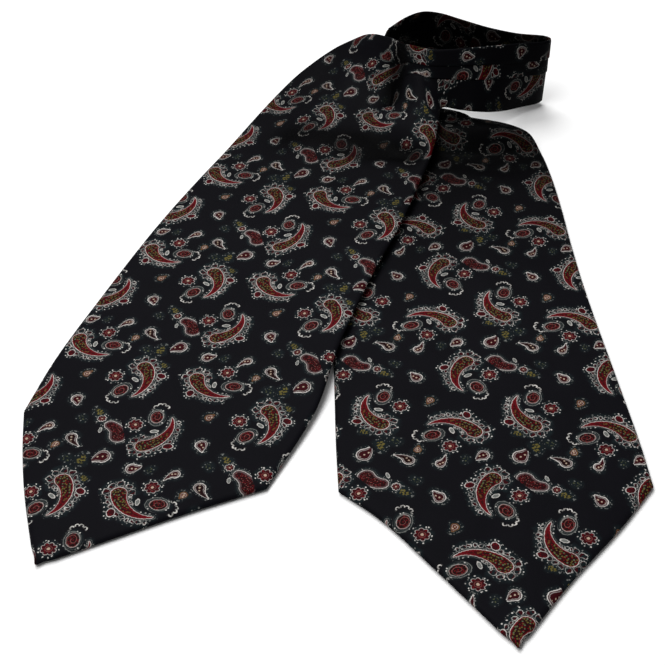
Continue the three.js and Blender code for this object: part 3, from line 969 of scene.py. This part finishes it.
@dataclass(frozen=True)
class Graph:
    """Adds nodes to one material."""

    tree: bpy.types.NodeTree

    def add(self, kind: str, settings: dict[str, object], sockets: dict[int | str, object],
            output: int | str = 0) -> Value:
        """Adds any node.

        Args:
            kind: The node's type.
            settings: What is set on the node itself, or "stops" for a ramp's stops.
            sockets: Values or links for its inputs, by number or name.
            output: Which output to use.

        Returns:
            The chosen output.
        """
        node = self.tree.nodes.new(kind)
        for key, value in settings.items():
            if key == "stops":
                self._set_stops(node.color_ramp, value)
            else:
                setattr(node, key, value)
        for key, value in sockets.items():
            if isinstance(value, Value):
                self.tree.links.new(value.socket, node.inputs[key])
            else:
                node.inputs[key].default_value = value
        return Value(self, node.outputs[output])

    def _set_stops(self, ramp: bpy.types.ColorRamp, stops: tuple[tuple[float, Colour], ...]) -> None:
        """Sets a ramp's stops, with flat steps between them.

        Args:
            ramp: The node's ramp.
            stops: Each stop's place and colour.
        """
        ramp.interpolation = "CONSTANT"
        for index, (place, colour) in enumerate(stops):
            element = ramp.elements[index] if index < 2 else ramp.elements.new(place)
            element.position = place
            element.color = colour

    def math(self, operation: str, *values: Value | float) -> Value:
        """Adds a Math node on values."""
        return self.add("ShaderNodeMath", {"operation": operation}, dict(enumerate(values)))

    def vector(self, operation: str, *values: Value | tuple[float, ...]) -> Value:
        """Adds a Vector Math node that gives a vector."""
        return self.add("ShaderNodeVectorMath", {"operation": operation}, dict(enumerate(values)))

    def measure(self, operation: str, *values: Value | tuple[float, ...]) -> Value:
        """Adds a Vector Math node that gives a number."""
        sockets = dict(enumerate(values))
        return self.add("ShaderNodeVectorMath", {"operation": operation}, sockets, "Value")

    def combine(self, x: Value | float, y: Value | float, z: Value | float = 0.0) -> Value:
        """Joins three numbers into a vector."""
        return self.add("ShaderNodeCombineXYZ", {}, {0: x, 1: y, 2: z})

    def part(self, vector: Value, index: int) -> Value:
        """Takes one number out of a vector."""
        axis = tuple(1.0 if i == index else 0.0 for i in range(3))
        return self.measure("DOT_PRODUCT", vector, axis)

    def blend(self, factor: Value | float, a: Value | Colour, b: Value | Colour) -> Value:
        """Mixes two colours; the factor is how much of the second shows."""
        return self.add("ShaderNodeMix", {"data_type": "RGBA"}, {0: factor, 6: a, 7: b}, 2)

    def choose(self, factor: Value, a: Value, b: Value) -> Value:
        """Mixes two vectors; the factor is how much of the second counts."""
        return self.add("ShaderNodeMix", {"data_type": "VECTOR"}, {0: factor, 4: a, 5: b}, 1)

    def ramp(self, value: Value, low: float, high: float) -> Value:
        """Gives a smooth ramp from 0 at low to 1 at high; low may be the greater."""
        return self.add("ShaderNodeMapRange", {"interpolation_type": "SMOOTHSTEP"},
                        {"Value": value, "From Min": low, "From Max": high})

    def line(self, distance: Value, half: float, soft: float = 0.14) -> Value:
        """Draws a line where a distance is near zero."""
        return self.ramp(abs(distance), half + soft, half - soft)

    def cells(self, place: Value, scale: float, output: str = "Distance") -> Value:
        """Scatters cells over a place given in millimetres."""
        return self.add("ShaderNodeTexVoronoi", {"voronoi_dimensions": "2D", "feature": "F1"},
                        {"Vector": place, "Scale": scale}, output)

    def least(self, first: Value, *others: Value) -> Value:
        """Gives the least of some numbers."""
        return self.math("MINIMUM", first, self.least(*others)) if others else first

    def noise(self, place: Value, scale: float, output: int | str = "Color") -> Value:
        """Gives flat noise over a place given in millimetres."""
        sockets = {"Vector": place, "Scale": scale}
        return self.add("ShaderNodeTexNoise", {"noise_dimensions": "2D"}, sockets, output)

    def polar(self, place: Value, centre: Value | tuple[float, ...],
              stretch: tuple[float, ...] = (1.0, 1.0, 0.0)) -> tuple[Value, Value]:
        """Measures a place from a centre.

        Args:
            place: The place.
            centre: The centre.
            stretch: How much each direction counts.

        Returns:
            The distance and the angle.
        """
        away = self.vector("MULTIPLY", self.vector("SUBTRACT", place, centre), stretch)
        turn = self.math("ARCTAN2", self.part(away, 1), self.part(away, 0))
        return self.measure("LENGTH", away), turn

    def layers(self, colour: Value | Colour, *coats: tuple[Value, Value | Colour]) -> Value:
        """Blends coats over a colour in order.

        Args:
            colour: The colour underneath.
            coats: How much of each coat shows, and its colour.

        Returns:
            The finished colour.
        """
        for factor, coat in coats:
            colour = self.blend(factor, colour, coat)
        return colour


@dataclass(frozen=True)
class Motif:
    """One motif's place in the repeat: turn is where its head or tail points, and code picks its kind."""

    x: float
    y: float
    turn: float
    mirror: float = 1.0
    size: float = 1.0
    code: float = 0.0
    claim: float = 1.0


COMMAS = (
    Motif(34.9, -12.7, 194.0),
    Motif(12.4, -57.2, 291.0, code=0.1),
    Motif(-14.2, -29.8, 67.0, mirror=-1.0, code=0.2),
    Motif(-5.8, 17.1, 14.0, size=0.6, code=1.0, claim=1.05),
)
DROPS = (
    Motif(1.6, 3.8, 202.0, size=4.2, code=0.05),
    Motif(-30.5, -50.5, 325.0, mirror=-1.0, size=3.3, code=0.15),
    Motif(-34.2, -72.8, 200.0, size=2.6, code=0.25),
    Motif(-19.2, 10.4, 286.0, size=3.1, code=0.35),
    Motif(19.8, 0.8, 8.0, size=3.3, code=0.45),
    Motif(-24.4, 3.6, 275.0, mirror=-1.0, size=2.0, code=0.55),
    Motif(-35.2, -31.5, 30.0, size=2.2, code=0.65),
    Motif(-7.0, -1.8, 60.0, size=2.6, code=0.75),
    Motif(-14.6, 31.5, 120.0, size=2.2, code=0.75),
    Motif(0.4, -12.6, 120.0, size=1.9, code=0.75),
    Motif(-14.4, -3.8, 290.0, size=1.8, code=0.85),
    Motif(-21.2, 24.6, 290.0, size=1.5, code=0.85),
    Motif(28.6, 2.6, 40.0, size=1.4, code=0.85),
)


@dataclass(frozen=True)
class Dyes:
    """The print's colours."""

    ground: Colour = (0.0044, 0.0043, 0.0058, 1.0)
    red: Colour = (0.1, 0.0038, 0.0066, 1.0)
    wine: Colour = (0.03, 0.0036, 0.0052, 1.0)
    shadow: Colour = (0.013, 0.004, 0.004, 1.0)
    white: Colour = (0.52, 0.5, 0.47, 1.0)
    rind: Colour = (0.075, 0.045, 0.047, 1.0)
    grey: Colour = (0.13, 0.134, 0.126, 1.0)
    teal: Colour = (0.01, 0.018, 0.02, 1.0)
    olive: Colour = (0.1, 0.082, 0.022, 1.0)
    amber: Colour = (0.12, 0.066, 0.028, 1.0)
    moss: Colour = (0.08, 0.1, 0.055, 1.0)
    cream: Colour = (0.37, 0.28, 0.21, 1.0)
    pink: Colour = (0.16, 0.05, 0.045, 1.0)
    orange: Colour = (0.075, 0.017, 0.009, 1.0)


@dataclass(frozen=True)
class PaisleyPrint:
    """A small paisley repeat, drawn from each motif's own distances."""

    across: float = 75.4
    drop: float = -10.0
    up: float = 87.3
    sweep: float = 1.97
    dyes: Dyes = Dyes()

    def colour(self, graph: Graph, cloth: Value) -> Value:
        """Draws the print.

        Args:
            graph: The material's nodes.
            cloth: Places on the cloth, in millimetres.

        Returns:
            The print's colour.
        """
        wobble = graph.vector("SUBTRACT", graph.noise(cloth, 0.9), (0.5, 0.5, 0.5))
        wobble = graph.vector("MULTIPLY", wobble, (0.7, 0.7, 0.0))
        place = graph.vector("ADD", cloth, wobble)
        repeat = graph.combine(
            graph.measure("DOT_PRODUCT", place, (1 / self.across, 0.0, 0.0)),
            graph.measure("DOT_PRODUCT", place, (-self.drop / self.across / self.up, 1 / self.up, 0.0)))
        colour = self._commas(graph, self._nearest(graph, repeat, COMMAS))
        return self._drops(graph, self._nearest(graph, repeat, DROPS), colour)

    def _nearest(self, graph: Graph, repeat: Value, motifs: tuple[Motif, ...]) -> Value:
        """Finds the nearest motif's own coordinates.

        Args:
            graph: The material's nodes.
            repeat: Places counted in repeats.
            motifs: The motifs to choose from.

        Returns:
            A vector: along and across the motif in units of its size, and its code.
        """
        best, reach = None, None
        for motif in motifs:
            turn = math.radians(motif.turn)
            cos, sin = math.cos(turn) / motif.size, math.sin(turn) / motif.size
            centre = (motif.x / self.across, (motif.y - self.drop * motif.x / self.across) / self.up, 0.0)
            away = graph.vector("SUBTRACT", repeat, centre)
            away = graph.vector("WRAP", away, (0.5, 0.5, 0.5), (-0.5, -0.5, -0.5))
            along = (self.across * cos + self.drop * sin, self.up * sin, 0.0)
            athwart = tuple(motif.mirror * part for part in
                            (-self.across * sin + self.drop * cos, self.up * cos, 0.0))
            local = graph.combine(graph.measure("DOT_PRODUCT", away, along),
                                  graph.measure("DOT_PRODUCT", away, athwart), motif.code)
            length = graph.measure("LENGTH", local) * (motif.size * motif.claim)
            if best is None:
                best, reach = local, length
            else:
                best = graph.choose(length < reach, best, local)
                reach = graph.least(reach, length)
        return best

    def _commas(self, graph: Graph, local: Value) -> Value:
        """Draws the large curved motifs and their flowers, and the kidney-shaped one.

        Args:
            graph: The material's nodes.
            local: The nearest one's own coordinates and its code, 1 for the kidney shape.

        Returns:
            The colour, on the plain ground.
        """
        dyes = self.dyes
        x, y, kind = (graph.part(local, index) for index in range(3))
        kidney = kind > 0.5
        flat = graph.combine(x, y)
        apart = graph.measure("LENGTH", flat)
        angle = graph.math("ARCTAN2", y, x)
        ends = {"Value": angle, "Min": 0.0, "Max": self.sweep - kidney * 0.75}
        bend = graph.add("ShaderNodeClamp", {}, ends)
        radius = 14.0 - graph.math("SINE", bend * 1.57) * 1.3
        spine = graph.combine(radius * graph.math("COSINE", bend), radius * graph.math("SINE", bend))
        off = graph.measure("DISTANCE", flat, spine)
        taper = graph.math("MAXIMUM", 1.0 - bend * (1 / 2.06), 0.0) ** 0.8
        half = taper * 4.1 * (1.0 - kidney) + kidney * (7.3 - bend * 1.9)
        scale = 1.0 - kidney * 0.4
        body = (off - half) * scale
        away = kidney * 60.0
        outer = graph.ramp(apart, 12.5, 14.5)

        rose_off, rose_turn = graph.polar(flat, (-6.4, 5.0, 0.0), (0.8, 1.08, 0.0))
        rose_edge = rose_off - 3.5 + away
        swirl = graph.math("PINGPONG", rose_off * 0.55 - rose_turn * (0.5 / math.pi) + 8.2, 0.5)
        swirl = graph.ramp(swirl, 0.12, 0.05) * graph.ramp(rose_off + away, 5.5, 5.2)
        swirl = swirl * graph.ramp(rose_off, 0.5, 0.9)
        bloom_off, bloom_turn = graph.polar(flat, graph.combine(-1.2 - kidney * 3.2, -5.4 + kidney * 24.6))
        bloom_edge = (bloom_off - 2.8 - abs(graph.math("SINE", bloom_turn * 4.0)) ** 0.6 * 1.1) * scale
        lobe_edge = graph.polar(flat, (15.0, 12.4, 0.0), (1.1, 0.85, 0.0))[0] - 2.2 + away
        leaf = graph.combine(x - 3.8 + kidney * 6.3, (y - 4.6 - kidney * 0.6) * 0.5)
        leaf_edge = graph.measure("LENGTH", leaf) - 1.0 - kidney * 0.4
        flowers = graph.least(rose_edge, bloom_edge, lobe_edge)

        grain = graph.cells(flat, 0.8)
        tint = graph.part(graph.cells(flat, 0.8, "Color"), 0)
        petal = graph.ramp(flowers, 0.1, -0.1)
        deep = graph.ramp(body + bend * 0.35, -0.45, -0.9)
        deep = graph.math("MAXIMUM", deep, kidney * graph.ramp(body, -0.9, -1.4))
        bead = deep * graph.ramp(grain, 0.4, 0.27)
        bead_colour = graph.blend(tint > 0.4, dyes.red, dyes.olive)
        bead_colour = graph.blend(graph.ramp(bend, 0.8, 1.3), bead_colour, dyes.red)
        bead_colour = graph.blend((tint > 0.78) * (bend < 0.8), bead_colour, dyes.moss)
        bead_colour = graph.blend(kidney, bead_colour, graph.blend(tint > 0.8, dyes.red, dyes.pink))
        edge = graph.least(body, flowers)
        strength = (0.75 + outer * 0.25) * (0.7 + tint * 0.3) * (1.0 - (rose_edge < 1.0) * 0.35)
        return graph.layers(
            self._lace(graph, flat, body, flowers, rose_edge, (half, kind, kidney)),
            (graph.ramp(leaf_edge, 0.2, -0.2), dyes.grey),
            (graph.line(leaf_edge, 0.12), dyes.white),
            (petal, graph.blend(rose_edge < 0.1, dyes.wine, dyes.shadow)),
            (petal * graph.ramp(grain, 0.36, 0.24) * (tint > 0.5), dyes.red),
            (swirl * graph.ramp(body, 0.4, 0.7), graph.blend(rose_edge < 0.0, dyes.grey, dyes.pink)),
            (graph.line(bloom_off - 1.7, 0.16) * (bloom_edge < 0.0) * 0.8, dyes.pink),
            (graph.ramp(bloom_off, 1.0, 0.5), dyes.cream),
            (graph.ramp(body, 0.1, -0.1), graph.blend(kidney, dyes.red, dyes.wine)),
            (deep * (0.7 + graph.ramp(bend, 1.3, 0.7) * 0.25), dyes.shadow),
            (bead * (1.0 - kidney * (tint < 0.35)), bead_colour),
            (kidney * graph.ramp(abs(body + 0.55), 0.65, 0.45), dyes.rind),
            (graph.line(edge, 0.17) * strength, dyes.white))

    def _lace(self, graph: Graph, flat: Value, body: Value, flowers: Value, rose_edge: Value,
              shape: tuple[Value, Value, Value]) -> Value:
        """Draws the loops, the second outline and the specks round a curved motif.

        Args:
            graph: The material's nodes.
            flat: The motif's own coordinates.
            body: Distance from its body's edge.
            flowers: Distance from the edge of its flowers.
            rose_edge: Distance from the edge of the flower that the tail curls round.
            shape: Its half width, its code, and 1 for the kidney shape.

        Returns:
            The colour, on the plain ground.
        """
        dyes = self.dyes
        half, kind, kidney = shape
        away = kidney * 60.0
        drift = graph.noise(graph.vector("ADD", flat, graph.combine(kind * 90.0, 0.0)), 0.3)
        slack = graph.vector("SUBTRACT", drift, (0.5, 0.5, 0.5))
        slack = graph.vector("MULTIPLY", slack, (2.8, 2.8, 0.0))
        loose = graph.vector("ADD", flat, slack)
        apart, angle = graph.polar(loose, (0.0, 0.0, 0.0))
        vivid = 0.45 + graph.ramp(graph.part(drift, 2), 0.44, 0.56) * 0.55
        knob_off, knob_turn = graph.polar(loose, (14.0, 0.0, 0.0))
        spread = graph.math("PINGPONG", knob_turn + 8.0, 0.36)
        loops = graph.measure("LENGTH", graph.combine(knob_off - 6.3, spread * 6.3)) - 1.8
        loops = loops + graph.ramp(angle, 0.05, 0.2) * 9.0
        border = graph.math("PINGPONG", angle + 8.0, 0.085)
        rim = graph.measure("LENGTH", graph.combine(apart - 15.2 - half, border * 17.0)) - 1.15
        rim = rim + graph.ramp(angle, 0.1, 0.0) * 9.0 + graph.ramp(angle, 1.75, 1.95) * 9.0
        inner = graph.measure("LENGTH", graph.combine(apart - 12.0 + half, border * 12.0)) - 0.85
        inner = inner + graph.ramp(angle, 0.0, -0.1) * 9.0 + graph.ramp(angle, 0.8, 1.0) * 9.0
        scallops = graph.least(loops, rim, inner) + away
        clear = graph.ramp(flowers, 0.25, 0.55) * graph.ramp(body, 0.3, 0.6)
        specks = graph.cells(flat, 0.72)
        tint = graph.part(graph.cells(flat, 0.72, "Color"), 1)
        near_all = graph.least(body, flowers, scallops)
        dotted = graph.ramp(near_all, 0.45, 0.8) * graph.ramp(near_all, 2.2, 1.2)
        dotted = dotted * graph.ramp(specks, 0.34, 0.2)
        fan_off, fan_turn = graph.polar(flat, (-11.5, 6.6, 0.0))
        fan_off = fan_off + away
        petals = graph.combine(fan_off - 3.7, graph.math("PINGPONG", fan_turn + 8.0, 0.36) * 3.7)
        petals = graph.line(graph.measure("LENGTH", petals) - 0.95, 0.28) * graph.ramp(fan_off, 3.2, 3.8)
        curl = graph.least(body, rose_edge)
        shown = (0.35 + graph.ramp(apart, 13.0, 15.0) * 0.5) * graph.ramp(flowers, 0.4, 0.7)
        return graph.layers(
            dyes.ground,
            (graph.ramp(near_all, 3.0, 0.3) * clear * 0.55, dyes.teal),
            (dotted * (tint > 0.58), graph.blend(tint > 0.8, dyes.white, dyes.grey)),
            (graph.ramp(scallops, 0.0, -0.3) * (tint > 0.4), dyes.wine),
            (graph.line(scallops, 0.17) * (0.6 + tint * 0.4) * vivid * clear, dyes.white),
            (petals * vivid * graph.ramp(graph.part(flat, 0), -11.5, -13.0), dyes.white),
            (graph.line(curl - 0.85, 0.12) * shown * (1.0 - kidney * 0.3), dyes.grey))

    def _drops(self, graph: Graph, local: Value, colour: Value) -> Value:
        """Draws the small drops, florets and buds.

        Args:
            graph: The material's nodes.
            local: The nearest one's own coordinates and its code.
            colour: The colour so far.

        Returns:
            The finished print's colour.
        """
        dyes = self.dyes
        x, y, code = (graph.part(local, index) for index in range(3))
        stops = (
            (0.0, (*dyes.wine[:3], 0.42)), (0.1, (*dyes.wine[:3], 0.33)), (0.2, (*dyes.wine[:3], 0.26)),
            (0.3, (*dyes.shadow[:3], 0.31)), (0.4, (*dyes.wine[:3], 0.33)), (0.5, (*dyes.orange[:3], 0.2)),
            (0.6, (*dyes.orange[:3], 0.22)), (0.7, (*dyes.olive[:3], 0.22)), (0.8, (0.05, 0.055, 0.03, 0.15)),
        )
        fill = graph.add("ShaderNodeValToRGB", {"stops": stops}, {"Fac": code})
        size = Value(graph, fill.socket.node.outputs["Alpha"]) * 10.0
        long = (code > 0.2) * (code < 0.4) * 0.75
        along = graph.add("ShaderNodeClamp", {}, {"Value": x, "Min": 0.0, "Max": long + 1.2})
        spine = graph.combine(along, along * along * 0.42)
        off = graph.measure("DISTANCE", graph.combine(x, y), spine)
        half = graph.math("MAXIMUM", 1.0 - along / (long + 1.25), 0.0) ** 0.5
        flat = graph.combine(x * size, y * size)
        grain = graph.cells(graph.vector("ADD", flat, graph.combine(code * 40.0, 0.0)), 0.75)
        tint = graph.part(graph.cells(flat, 0.75, "Color"), 0)
        bud = code > 0.7
        edge = (off - half) * size
        outlined = 1.0 - bud
        flecks = graph.ramp(grain, 0.5, 0.36) * (tint > 0.35)
        rind = graph.ramp(edge, 0.1, -0.1) * graph.ramp(edge, -0.3 - size * 0.2, -0.1 - size * 0.2)
        paint = graph.blend((code > 0.5) * outlined, dyes.white, dyes.amber)
        bright = graph.line(edge + 0.1, 0.22) * (0.6 + 0.4 * graph.ramp(y, -0.6, 0.4))
        inner = graph.line(edge + size * 0.2 + 0.3, 0.1) * graph.ramp(x, 1.2, 0.6)
        dots = graph.combine(graph.math("PINGPONG", x + 0.05, 0.3) * size, (y - x * 0.1) * size)
        dots = graph.ramp(graph.measure("LENGTH", dots), 0.6, 0.35)
        dots = dots * graph.ramp(edge, size * -0.3, size * -0.45)
        ring = graph.ramp(edge, 0.35, 0.6) * graph.ramp(edge, 2.1, 1.4)
        return graph.layers(
            colour,
            (graph.ramp(edge, 3.4, 0.3) * 0.4, dyes.teal),
            (graph.ramp(edge, 0.1, -0.1) * (1.0 - bud + bud * flecks), fill),
            (rind * outlined * (code < 0.5), dyes.rind),
            (bright * outlined, paint),
            (inner * outlined * 0.7, dyes.white),
            (dots * outlined, dyes.cream),
            (ring * graph.ramp(grain, 0.36, 0.22) * (tint > 0.45), dyes.grey))


@dataclass(frozen=True)
class PrintedSilk:
    """Black silk twill with a paisley print and a soft sheen."""

    name: str
    design: PaisleyPrint = PaisleyPrint()
    roughness: float = 0.46
    thread: float = 0.45

    def material(self) -> bpy.types.Material:
        """Makes the material.

        Returns:
            The new material.
        """
        finish = bpy.data.materials.new(self.name)
        finish.use_nodes = True
        graph = Graph(finish.node_tree)
        shader = finish.node_tree.nodes["Principled BSDF"]
        # The cloth attribute gives places on the cloth, and in its third number the painted shade.
        cloth = graph.add("ShaderNodeAttribute", {"attribute_name": "cloth"}, {}, "Vector")
        colour = self.design.colour(graph, cloth)
        threads = graph.vector("MULTIPLY", cloth, (0.5, 0.03, 0.0))
        slubs = graph.add("ShaderNodeTexNoise", {"noise_dimensions": "2D"},
                          {"Vector": threads, "Scale": 1.0, "Detail": 3.0})
        mottle = graph.noise(cloth, 0.05, 0)
        # Random slub and mottle tone, darkened by the painted shade from the mesh.
        tone_and_painted_shade = (0.76 + slubs * 0.14 + mottle * 0.3) * (1.0 - graph.part(cloth, 2))
        colour = graph.add("ShaderNodeVectorMath", {"operation": "SCALE"}, {0: colour, "Scale": tone_and_painted_shade})
        self._link(finish, colour, "Base Color")
        self._link(finish, self.roughness - 0.1 + slubs * 0.12 + mottle * 0.08, "Roughness")
        pitch = 2 * math.pi / self.thread
        twill = graph.math("SINE", graph.measure("DOT_PRODUCT", cloth, (0.5 * pitch, 0.866 * pitch, 0.0)))
        weft = graph.math("SINE", graph.measure("DOT_PRODUCT", cloth, (pitch * 1.6, 0.0, 0.0)))
        weave = twill * 0.6 + weft * 0.25 + slubs * 0.8
        bump = graph.add("ShaderNodeBump", {}, {"Height": weave, "Strength": 0.25, "Distance": 0.0001},
                         "Normal")
        self._link(finish, bump, "Normal")
        shader.inputs["Specular IOR Level"].default_value = 0.01
        shader.inputs["Sheen Weight"].default_value = 0.0015
        shader.inputs["Sheen Roughness"].default_value = 0.4
        return finish

    def _link(self, finish: bpy.types.Material, value: Value, socket: str) -> None:
        """Feeds one of the shader's sockets."""
        finish.node_tree.links.new(value.socket, finish.node_tree.nodes["Principled BSDF"].inputs[socket])


@dataclass(frozen=True)
class Studio:
    """A plain pale floor, soft light from above and behind, and the camera at the photo's angle."""

    distance: float = 780.0
    pitch: float = 39.51269
    roll: float = -1.90703
    lens: float = 77.49

    def camera(self) -> None:
        """Places the camera and makes it the scene's own."""
        pitch, roll = math.radians(self.pitch), math.radians(self.roll)
        forward = np.array([0.0, math.cos(pitch), -math.sin(pitch)])
        lift = np.array([0.0, math.sin(pitch), math.cos(pitch)])
        side = np.array([1.0, 0.0, 0.0])
        right = math.cos(roll) * side + math.sin(roll) * lift
        up = -math.sin(roll) * side + math.cos(roll) * lift
        data = bpy.data.cameras.new("view")
        data.sensor_width = 36.0
        data.lens = self.lens
        data.clip_start = 0.01
        item = bpy.data.objects.new("view", data)
        place = (-self.distance * forward + PLAN_TO_FRAME) * MM
        axes = np.column_stack([right, up, -forward, place])
        item.matrix_world = Matrix(np.vstack([axes, [0, 0, 0, 1]]).tolist())
        bpy.context.scene.collection.objects.link(item)
        bpy.context.scene.camera = item

    def lamp(self, name: str, place: tuple[float, float, float], size: float, power: float) -> None:
        """Adds a soft square lamp that faces the cravat.

        Args:
            name: The lamp's name.
            place: Where it hangs, in metres.
            size: The length of its side, in metres.
            power: Its power, in watts.
        """
        data = bpy.data.lights.new(name, "AREA")
        data.size = size
        data.energy = power
        item = bpy.data.objects.new(name, data)
        item.location = place
        item.rotation_mode = "QUATERNION"
        item.rotation_quaternion = Vector(place).to_track_quat("Z", "Y")
        bpy.context.scene.collection.objects.link(item)

    def floor(self) -> None:
        """Lays a plain pale floor."""
        mesh = bpy.data.meshes.new("floor")
        low, high = -2.5, 2.5
        mesh.from_pydata([(low, low, 0), (high, low, 0), (high, high, 0), (low, high, 0)], [], [(0, 1, 2, 3)])
        item = bpy.data.objects.new("floor", mesh)
        finish = bpy.data.materials.new("floor_pale")
        finish.use_nodes = True
        shader = finish.node_tree.nodes["Principled BSDF"]
        shader.inputs["Base Color"].default_value = (0.93, 0.93, 0.93, 1.0)
        shader.inputs["Roughness"].default_value = 0.9
        shader.inputs["Specular IOR Level"].default_value = 0.1
        mesh.materials.append(finish)
        bpy.context.scene.collection.objects.link(item)

    def light(self) -> None:
        """Lights the scene softly, mostly from above and behind."""
        world = bpy.data.worlds.new("studio")
        world.use_nodes = True
        ground = world.node_tree.nodes["Background"]
        ground.inputs["Color"].default_value = (1.0, 1.0, 1.0, 1.0)
        ground.inputs["Strength"].default_value = 0.24
        bpy.context.scene.world = world
        self.lamp("key_behind", (-0.35, 1.3, 2.0), 1.4, 42.0)
        self.lamp("fill_above", (-0.4, -0.25, 1.15), 0.8, 9.5)
        bpy.context.scene.view_settings.view_transform = "Standard"


def main() -> None:
    """Builds the cravat and its studio in order."""
    logging.basicConfig(level=logging.INFO, format="%(name)s: %(message)s")
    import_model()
    studio = Studio()
    studio.camera()
    studio.floor()
    studio.light()
    over = OverStrand("over_strand", OVER_SECTIONS, OVER_POINT, -1.0, (-72.1, -48.1), (0.381, 0.9246),
                      OVER_WRINKLES)
    under = UnderStrand("under_strand", UNDER_SECTIONS, UNDER_POINT, 1.0, (-9.6, 9.2), (0.0575, -0.9983),
                        UNDER_WRINKLES)
    finish = PrintedSilk("printed_silk").material()
    pieces = [
        (over.build(), ("over_blade_front", "band_front", "band_back"), "silk_front", (0.165, 0.74), 0.086),
        (under.build(), ("under_blade_front", "neck_turn"), "silk_front", (0.165, 0.58), 0.075),
        (BackPanel("over_back_panel", over).build(), ("over_blade_back",), "silk_back", (0.14, 0.46), 0.055),
        (BackPanel("under_back_panel", under).build(), ("under_blade_back",), "silk_back", (0.14, 0.42),
         0.05),
    ]
    for item, nodes, slot, flat, area in pieces:
        item.data.materials.append(finish)
        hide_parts(*nodes)
        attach(item, "root")
        LOG.info("%s: %d faces", item.name, len(item.data.polygons))


if __name__ == "__main__":
    main()
